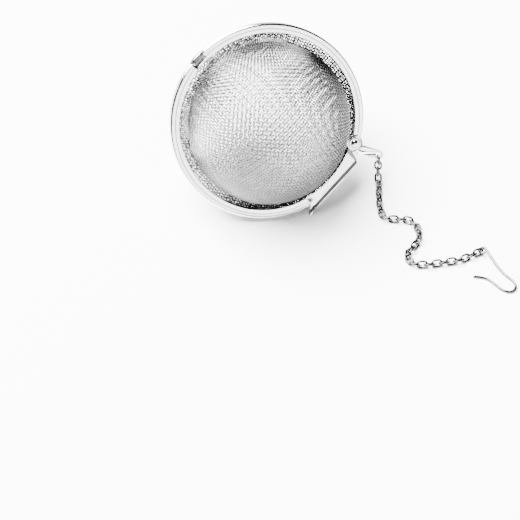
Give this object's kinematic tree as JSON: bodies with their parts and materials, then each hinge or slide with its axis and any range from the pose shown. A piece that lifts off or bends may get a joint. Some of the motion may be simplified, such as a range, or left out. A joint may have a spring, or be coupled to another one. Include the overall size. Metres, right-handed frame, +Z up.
{
  "type": "tea infuser",
  "caption": "Ball tea infuser of two hinged wire-cloth domes in folded steel rims, shut by a swivel lock, with a chain and a wire hook on an ear.",
  "frame": {"origin": "on the table, straight below the centre of the closed ball as it lies on its rear dome and the edge of its rear rim", "axes": "+Z up, -Y towards the user, +X to the user's right; the rims' common axis leans from +Z towards -Y"},
  "size_m": [0.0824, 0.0815, 0.0461],
  "materials": {
    "wire_cloth": "bright drawn wire, plain weave",
    "rim_steel": "polished sheet with fine rolling lines",
    "lock_steel": "polished sheet, rubbed brighter along its folds",
    "rivet_steel": "polished",
    "chain_steel": "bright wire",
    "hook_wire": "bright wire"
  },
  "bodies": {
    "rear_half": {"rear_mesh": "wire_cloth", "rear_rim": "rim_steel", "chain_ear": "rim_steel"},
    "front_half": {"front_mesh": "wire_cloth", "front_rim": "rim_steel", "lock_washer": "rivet_steel", "lock_rivet": "rivet_steel"},
    "lock": {"lock_clip": "lock_steel"},
    "chain_upper": {"link_01": "chain_steel", "link_02": "chain_steel", "link_03": "chain_steel", "link_04": "chain_steel", "link_05": "chain_steel", "link_06": "chain_steel", "link_07": "chain_steel", "link_08": "chain_steel"},
    "chain_middle": {"link_09": "chain_steel", "link_10": "chain_steel", "link_11": "chain_steel", "link_12": "chain_steel", "link_13": "chain_steel", "link_14": "chain_steel", "link_15": "chain_steel", "link_16": "chain_steel"},
    "chain_lower": {"link_17": "chain_steel", "link_18": "chain_steel", "link_19": "chain_steel", "link_20": "chain_steel", "link_21": "chain_steel", "link_22": "chain_steel", "link_23": "chain_steel", "link_24": "chain_steel"},
    "chain_end": {"link_25": "chain_steel", "link_26": "chain_steel", "link_27": "chain_steel", "link_28": "chain_steel", "link_29": "chain_steel", "link_30": "chain_steel", "link_31": "chain_steel", "link_32": "chain_steel"},
    "hook": {"hook": "hook_wire"}
  },
  "joints": [
    {"name": "lid_hinge", "type": "hinge", "parent": "rear_half", "child": "front_half", "pos_m": [-0.01637, 0.01186, 0.04127], "axis": [-0.7986, -0.3445, -0.4935], "range_deg": [0, 130]},
    {"name": "lock_pivot", "type": "hinge", "parent": "front_half", "child": "lock", "pos_m": [0.0232, -0.00751, 0.0151], "axis": [0, -0.82, 0.5724], "range_deg": [0, 30]},
    {"name": "chain_swing", "type": "hinge", "parent": "rear_half", "child": "chain_upper", "pos_m": [0.0302, -0.0092, 0.00875], "axis": [0, 0, 1], "range_deg": [-20, 20]},
    {"name": "chain_bend_1", "type": "hinge", "parent": "chain_upper", "child": "chain_middle", "pos_m": [0.02737, -0.02014, 0.00096], "axis": [0, 0, 1], "range_deg": [-20, 20]},
    {"name": "chain_bend_2", "type": "hinge", "parent": "chain_middle", "child": "chain_lower", "pos_m": [0.03509, -0.0319, 0.00096], "axis": [0, 0, 1], "range_deg": [-20, 20]},
    {"name": "chain_bend_3", "type": "hinge", "parent": "chain_lower", "child": "chain_end", "pos_m": [0.03309, -0.04333, 0.00096], "axis": [0, 0, 1], "range_deg": [-20, 20]},
    {"name": "hook_swing", "type": "hinge", "parent": "chain_end", "child": "hook", "pos_m": [0.0494, -0.0432, 0.00096], "axis": [0, 0, 1], "range_deg": [-25, 25]}
  ]
}
